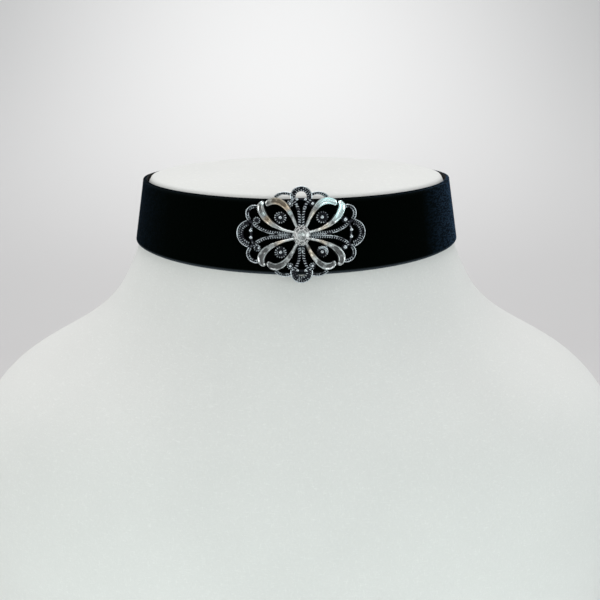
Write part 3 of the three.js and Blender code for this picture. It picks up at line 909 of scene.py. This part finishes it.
def rosettes(sizes, worn):
    """Four round plates, each with a ring of grains round a bead; one has bent up at an edge."""
    made = []
    count, around = 15, 1.5
    pitch = 2 * math.pi * around / count
    for k, place in enumerate(in_quarters(ROSETTE)):
        ground = disc(place, 0.00172, sizes.plate * 0.7)
        dress(ground, worn)
        circle = ring(place, around * MM, count)
        studs = grains([circle], sizes.plate, pitch, (0.21, 0.34, 0.3), worn)
        inner = hoop(place, 0.00098, 0.00011, sizes.plate * 0.85)
        centre = ball(place, 0.00056, sizes.plate * 1.05, 0.9)
        dress(inner, worn)
        dress(centre, worn)
        piece = join([ground, studs, inner, centre], "rosette")
        if k == 3:
            bend(piece, place)
        made.append(piece)
    return made


def bend(piece, place):
    """Tips the bent rosette on its slanting axis."""
    centre = Vector((place[0], place[1], 0.0009))
    axis = Vector((1, -0.8, 0)).normalized()
    turn = Matrix.Rotation(math.radians(24), 4, axis)
    piece.data.transform(Matrix.Translation(centre) @ turn @ Matrix.Translation(-centre))


def curls(sizes, worn):
    """The small open rings of grains at the ropes' ends on the left, and beads on the right."""
    rings, beads = [], []
    for place in in_quarters(SIDE_CURL):
        if place[0] < 0:
            rings.append(ring(place, 0.00085, 10))
            if place[1] < 0:
                beads.append(ball((place[0] + 0.0005, place[1]), 0.00046, sizes.plate * 1.1))
        else:
            beads.append(ball(place, 0.00062, sizes.plate * 1.1))
    for place in in_quarters(UPRIGHT_CURL):
        if place[0] < 0 or place[1] < 0:
            rings.append(ring(place, 0.00078, 10))
        beads.append(ball(place, 0.0005, sizes.plate * 1.15))
    for spot, radius in ((SIDE_BEAD, 0.00054), (LOW_BEAD, 0.00046)):
        beads += [ball(place, radius, sizes.plate * 1.1) for place in in_quarters(spot)]
    grounds = [disc(place, 0.0009, sizes.plate * 0.7) for place in in_quarters(SIDE_CURL)]
    grounds += [disc(place, 0.0009, sizes.plate * 0.7) for place in in_quarters(UPRIGHT_CURL)]
    low = join(grounds, "curl grounds")
    dress(low, worn)
    bright = join(beads, "beads")
    dress(bright, worn)
    return [low, bright, grains(rings, sizes.plate, 0.52, (0.19, 0.28, 0.28), worn)]


def stone_cup(sizes, worn):
    """The oval cup under the stone, hollowed from above."""
    stone = bpy.context.scene.choker_stone
    height = stone.seat - sizes.out - 0.0004
    bpy.ops.mesh.primitive_cylinder_add(
        vertices=40, radius=stone.width / 2 - 0.00012, depth=height, location=(0, 0, height / 2)
    )
    bpy.ops.transform.resize(value=(1, stone.height / stone.width, 1), center_override=(0, 0, 0))
    apply_place()
    obj = bpy.context.object
    for face in obj.data.polygons:
        face.select = abs(face.center.z - height) < 1e-6
    for edge in obj.data.edges:
        edge.select = all(obj.data.vertices[i].co.z > height - 1e-6 for i in edge.vertices)
    for vertex in obj.data.vertices:
        vertex.select = vertex.co.z > height - 1e-6
    edit(
        obj,
        lambda: bpy.ops.mesh.inset(thickness=0.0004),
        lambda: bpy.ops.mesh.extrude_region_move(TRANSFORM_OT_translate={"value": (0, 0, -0.001)}),
        lambda: bpy.ops.transform.resize(value=(0.4, 0.4, 1), center_override=(0, 0, height)),
    )
    dress(obj, worn)
    return obj


def paint(obj, name, value):
    """Stores a value for each vertex, worked out from its place in the flat work."""
    made = obj.data.attributes.new(name, "FLOAT", "POINT")
    made.data.foreach_set("value", [value(*vertex.co) for vertex in obj.data.vertices])


def reflection_tint(x, y):
    """Above 0 where a painted warm reflection tints the silver gold and below 0 where a painted cool
    reflection tints it blue, at the upper right.
    """
    tone = sum(
        strength * math.exp(-((x - across) ** 2 + (y - up) ** 2) / radius**2)
        for across, up, radius, strength in PAINTED_REFLECTIONS
    )
    return max(-1.0, min(1.0, tone))


def rubbed_height(up, height, sizes):
    """The height as a share of the petals', less on the lower petals, so that they come out darker towards
    the bottom.
    """
    on_petal = height > sizes.rim
    return height / sizes.petal - (0.065 * max(0.0, min(1.0, -up / 0.003)) if on_petal else 0)


class CHOKER_OT_filigree(bpy.types.Operator):
    """Builds the pierced silver front: petals, twisted wires, rosettes, beads and scalloped border."""

    bl_idname = "choker.filigree"
    bl_label = "Filigree"

    def execute(self, context):
        sizes = context.scene.choker_filigree
        polished = silver("polished silver", 0.69, 0.99, 0.2, sizes.dish, sizes.bright)
        worn = silver("antique silver", 0.46, 0.6, 0.26, sizes.dark, sizes.rubbed)
        pieces = [petals(sizes, polished), *border(sizes, worn), *ropes(sizes, worn)]
        pieces += [*rosettes(sizes, worn), *curls(sizes, worn), stone_cup(sizes, worn)]
        obj = join(pieces, "silver_filigree")
        paint(obj, "rise", lambda x, y, z: rubbed_height(y, z, sizes))
        lay_on_neck(obj)
        smooth(obj, 45)
        settle(obj, "antique_silver", "filigree")
        return {"FINISHED"}


def cut(obj, point, normal):
    """Grinds one facet: takes away what lies beyond a plane and closes the stone."""
    plane = {"plane_co": point, "plane_no": normal}
    edit_all(obj, lambda: bpy.ops.mesh.bisect(**plane, use_fill=True, clear_outer=True))


def shade_facets(obj):
    """Stores a painted shade for each facet, how light it looks: the lights fall on each in its own way."""
    made = obj.data.attributes.new("facet", "FLOAT", "FACE")
    shades = [(7 * k * k + 3 * k) % 11 / 10 for k in range(len(obj.data.polygons))]
    made.data.foreach_set("value", shades)


class CHOKER_OT_stone(bpy.types.Operator):
    """Cuts the clear oval stone, facet by facet, and seats it in its cup."""

    bl_idname = "choker.stone"
    bl_label = "Stone"

    def execute(self, context):
        sizes = context.scene.choker_stone
        filigree = context.scene.choker_filigree
        radius = sizes.width / 2
        top, bottom = 0.0013, -0.0012
        bpy.ops.mesh.primitive_cylinder_add(
            vertices=32, radius=radius, depth=top - bottom, location=(0, 0, (top + bottom) / 2)
        )
        apply_place()
        obj = context.object
        for height, degrees, count, shift in FACETS:
            tilt = math.radians(degrees)
            for k in range(count):
                turn = 2 * math.pi * (k + shift) / count
                reach = abs(math.sin(tilt))
                normal = (
                    reach * math.cos(turn),
                    reach * math.sin(turn),
                    math.copysign(math.cos(tilt), height),
                )
                cut(obj, (0, 0, height * MM), normal)
        pick(obj)
        bpy.ops.transform.resize(value=(1, sizes.height / sizes.width, 1))
        apply_place()
        dress(obj, crystal(), foil(), facet_glint())
        for face in obj.data.polygons:
            face.material_index = 1 if face.normal.z < -0.2 else 0
        shade_facets(obj)
        # The eased edges take the white of the painted glints.
        ease(obj, 0.00004, 1, 8, material=2)
        place, outward = on_neck(filigree.aside, filigree.up, sizes.seat)
        across = Vector((-outward.y, outward.x, 0)).normalized()
        turned = Matrix((across, outward.cross(across), outward)).transposed().to_4x4()
        obj.data.transform(Matrix.Translation(place) @ turned)
        obj.name = "cut_stone"
        settle(obj, "clear_stone", "stone")
        return {"FINISHED"}


def plan_angle(x, y, a, depth):
    """A plan point of the neck at an angle round it, from the front."""
    power = bpy.context.scene.choker_neck.power
    return (
        a * math.copysign(abs(x) ** (2 / power), x),
        -depth * math.copysign(abs(y) ** (2 / power), y),
    )


def round_neck(angle, up, out):
    """A place at an angle round the neck from the front, up from the ribbon's middle."""
    neck = bpy.context.scene.choker_neck
    z = ribbon_mid() + up * math.cos(slant())
    a = neck.half_width + neck.taper * (ribbon_mid() - z)
    share = neck.front_share if math.cos(angle) > 0 else neck.back_share
    x, y = plan_angle(math.sin(angle), math.cos(angle), a, a * share)
    normal = Vector((slope(x, a), slope(y / share, a) / share, neck.taper)).normalized()
    return Vector((x, y + neck.axis_y, z)) + normal * (out + ribbon_lift(x, y))


def ribbon_lift(x, y):
    """How far the ribbon's ends stand off the neck."""
    sizes = bpy.context.scene.choker_ribbon
    full, none = 0.0115, 0.0255
    if y < 0 or abs(x) > none:
        return 0.0
    t = min(1.0, (none - abs(x)) / (none - full))
    return sizes.lift * t * t * (3 - 2 * t)


class CHOKER_OT_ribbon(bpy.types.Operator):
    """Builds the velvet ribbon: a woven ground with a bare edge and a raised pile."""

    bl_idname = "choker.ribbon"
    bl_label = "Velvet ribbon"

    def execute(self, context):
        sizes = context.scene.choker_ribbon
        neck = context.scene.choker_neck
        along, across = 300, 44
        bpy.ops.mesh.primitive_grid_add(x_subdivisions=along, y_subdivisions=across, size=2)
        obj = context.object
        end = math.pi - end_angle(sizes, neck)
        half = sizes.width / 2
        pile = half - sizes.selvage
        rows, edge_rows = across // 2, 3
        for vertex in obj.data.vertices:
            step = round(abs(vertex.co.y) * rows)
            if step > rows - edge_rows:
                up = pile + (half - pile) * (step - rows + edge_rows) / edge_rows
            else:
                up = pile * step / (rows - edge_rows)
            vertex.co = round_neck(vertex.co.x * end, math.copysign(up, vertex.co.y), sizes.gap)
        modify(obj, "SOLIDIFY", thickness=sizes.ground, offset=1.0)
        outwards(obj)
        raise_pile(obj, sizes, pile)
        dress(obj, velvet(), woven_ground())
        paint_ground(obj)
        # lean: how strong the painted sheen is, growing from the left end to the right.
        paint(obj, "lean", lambda x, y, z: 0.5 + x / neck.half_width / 2)
        # edge: painted light along the ribbon's lower edge, faint along its top.
        paint(obj, "edge", lambda x, y, z: lower_edge_light(above_middle(z), pile))
        smooth(obj, 50)
        obj.name = "velvet_band"
        settle(obj, "velvet", "velvet_ribbon")
        return {"FINISHED"}


def end_angle(sizes, neck):
    """Half the angle that the opening takes at the back."""
    return math.asin((sizes.opening / 2 / neck.half_width) ** (neck.power / 2))


def above_middle(z):
    """A height measured up the neck's slope from the ribbon's middle."""
    return (z - ribbon_mid()) / math.cos(slant())


def lower_edge_light(up, pile):
    """How much painted light shows along the pile's edge at a height: most along the lower edge."""
    low = max(0.0, min(1.0, (0.0007 - pile - up) / 0.0006))
    high = max(0.0, min(1.0, (up - pile + 0.0004) / 0.0004))
    return 0.5 * low + 0.03 * high


def raise_pile(obj, sizes, pile):
    """Extrudes the outer faces inside the bare edges by the pile's height and rounds them."""
    neck = bpy.context.scene.choker_neck
    deselect(obj, "FACE")
    axis = Vector((0, neck.axis_y, 0))
    for face in obj.data.polygons:
        flat = (face.center - axis) * Vector((1, 1, 0))
        faces_out = face.normal.dot(flat.normalized()) > 0.5
        face.select = faces_out and abs(above_middle(face.center.z)) < pile
    raised = {"value": sizes.pile, "use_even_offset": True}
    edit(obj, lambda: bpy.ops.mesh.extrude_region_shrink_fatten(TRANSFORM_OT_shrink_fatten=raised))
    ease(obj, sizes.pile * 0.55, 3, 60)


def paint_ground(obj):
    """Gives the back of the ribbon and its two ends the woven material."""
    axis_y = bpy.context.scene.choker_neck.axis_y
    for face in obj.data.polygons:
        outward = Vector((face.center.x, face.center.y - axis_y, 0)).normalized()
        face.material_index = 1 if face.normal.dot(outward) < -0.3 else 0


def pad_cap(obj, share):
    """Raises the cloth of the cap by a share of its height above the ribbon's top."""
    top = bpy.context.scene.choker_neck.ribbon_top
    for vertex in obj.data.vertices:
        vertex.co.z += share * max(0.0, vertex.co.z - top)
    obj.data.update()


class CHOKER_OT_bust(bpy.types.Operator):
    """Covers the neck bust with smooth cloth."""

    bl_idname = "choker.bust"
    bl_label = "Neck bust"

    def execute(self, context):
        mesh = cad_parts["neck_bust"].data.copy()
        obj = bpy.data.objects.new("cloth_bust", mesh)
        context.collection.objects.link(obj)
        edit_all(
            obj,
            lambda: bpy.ops.mesh.remove_doubles(threshold=1e-6),
            lambda: bpy.ops.mesh.tris_convert_to_quads(
                face_threshold=math.radians(60), shape_threshold=math.radians(60)
            ),
        )
        modify(obj, "SUBSURF", levels=3, render_levels=3)
        pad_cap(obj, context.scene.choker_bust.padding)
        smooth(obj, 60)
        dress(obj, cloth())
        settle(obj, "bust_cloth", "neck_bust")
        return {"FINISHED"}


class CHOKER_OT_clasp(bpy.types.Operator):
    """Gives the clasp its satin steel."""

    bl_idname = "choker.clasp"
    bl_label = "Clasp"

    def execute(self, context):
        dress(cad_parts["clasp"], satin_steel())
        return {"FINISHED"}


def plain(name, colour, rough):
    made, tree, shader = new_material(name)
    put(shader, {"Base Color": (*colour, 1), "Roughness": rough})
    return made


def softbox(name, place, aim, size, energy, colour=(1, 1, 1)):
    lamp = bpy.data.lights.new(name, "AREA")
    lamp.shape = "SQUARE"
    lamp.size = size
    lamp.energy = energy
    lamp.color = colour
    obj = bpy.data.objects.new(name, lamp)
    bpy.context.collection.objects.link(obj)
    obj.visible_camera = False
    obj.location = place
    obj.rotation_euler = (Vector(aim) - Vector(place)).to_track_quat("-Z", "Y").to_euler()
    return obj


class CHOKER_OT_studio(bpy.types.Operator):
    """Sets the floor, backdrop, lights and camera."""

    bl_idname = "choker.studio"
    bl_label = "Studio"

    def execute(self, context):
        looks = context.scene.choker_studio
        reach, wall, bend = 2.2, 3.0, 1.6
        bpy.ops.mesh.primitive_plane_add(size=2 * reach)
        floor = context.object
        floor.name = "studio_floor"
        deselect(floor, "EDGE")
        for edge in floor.data.edges:
            ends = [floor.data.vertices[i].co.y for i in edge.vertices]
            edge.select = min(ends) > reach - 1e-4
        upright = {"value": (0, 0, wall)}
        edit(floor, lambda: bpy.ops.mesh.extrude_region_move(TRANSFORM_OT_translate=upright))
        ease(floor, bend, 24)
        smooth(floor, 60)
        dress(floor, plain("pale paper", looks.floor, 0.9))

        world = bpy.data.worlds.new("soft sky")
        context.scene.world = world
        world.use_nodes = True
        sky = world.node_tree.nodes["Background"]
        sky.inputs["Color"].default_value = (0.97, 0.99, 1.0, 1)
        sky.inputs["Strength"].default_value = 0.42
        softbox("softbox above", (0.0, 0.15, 1.1), (0, 0.0, 0.2), 1.0, 8.9, (1.0, 0.965, 0.965))
        softbox("softbox left", (-1.0, -0.5, 0.3), (-0.1, 0, 0.0), 0.6, 3.7, (1.0, 0.99, 0.97))
        softbox("softbox right", (1.0, -0.5, 0.3), (0.1, 0, 0.0), 0.6, 3.4, (0.97, 0.99, 1.0))
        softbox("softbox front", (0.0, -0.9, 0.2), (0, 0, 0.0), 0.4, 0.45, (0.92, 1.0, 0.98))
        for side in (-1, 1):
            place = (0.16 * side, -0.26, 0.05)
            low = softbox("softbox low", place, (0, -0.05, -0.09), 0.07, 0.155, (0.9, 1.0, 0.97))
            low.visible_glossy = False
        glint = softbox("softbox glint", (0.36, -0.75, 0.22), (0, 0, 0.19), 0.25, 0.16, (0.9, 1.0, 1.0))
        glint.visible_diffuse = False
        softbox("softbox backdrop", (0.0, 1.02, 1.13), (0, 2.13, 0.46), 1.0, 12.0)

        camera = bpy.data.cameras.new("camera")
        camera.sensor_width = 36
        camera.lens = looks.lens
        camera.clip_start = 0.01
        camera.shift_x = 3.2 / 600
        eye = bpy.data.objects.new("camera", camera)
        context.collection.objects.link(eye)
        axis_y = context.scene.choker_neck.axis_y
        aside = Matrix.Translation((0, axis_y, 0)) @ Matrix.Rotation(-looks.aside, 4, "Z")
        eye.matrix_world = (
            aside
            @ Matrix.Translation((0, looks.eye_y - axis_y, looks.eye_z))
            @ Matrix.Rotation(math.pi / 2 - looks.pitch, 4, "X")
            @ Matrix.Rotation(-looks.roll, 4, "Z")
        )
        context.scene.camera = eye
        context.scene.view_settings.view_transform = "Standard"
        return {"FINISHED"}


PIECES = [
    CHOKER_OT_studio,
    CHOKER_OT_bust,
    CHOKER_OT_ribbon,
    CHOKER_OT_clasp,
    CHOKER_OT_filigree,
    CHOKER_OT_stone,
]


class CHOKER_PT_panel(bpy.types.Panel):
    bl_idname = "CHOKER_PT_panel"
    bl_label = "Choker"
    bl_space_type = "VIEW_3D"
    bl_region_type = "UI"
    bl_category = "Choker"

    def draw(self, context):
        for piece in PIECES:
            self.layout.operator(piece.bl_idname)


def register():
    for made in (*GROUPS.values(), *PIECES, CHOKER_PT_panel):
        bpy.utils.register_class(made)
    for name, made in GROUPS.items():
        setattr(bpy.types.Scene, name, bpy.props.PointerProperty(type=made))


def unregister():
    for name in GROUPS:
        delattr(bpy.types.Scene, name)
    for made in (CHOKER_PT_panel, *PIECES, *GROUPS.values()):
        bpy.utils.unregister_class(made)


def main():
    register()
    for piece in PIECES:
        area, name = piece.bl_idname.split(".")
        getattr(getattr(bpy.ops, area), name)()


if __name__ == "__main__":
    main()
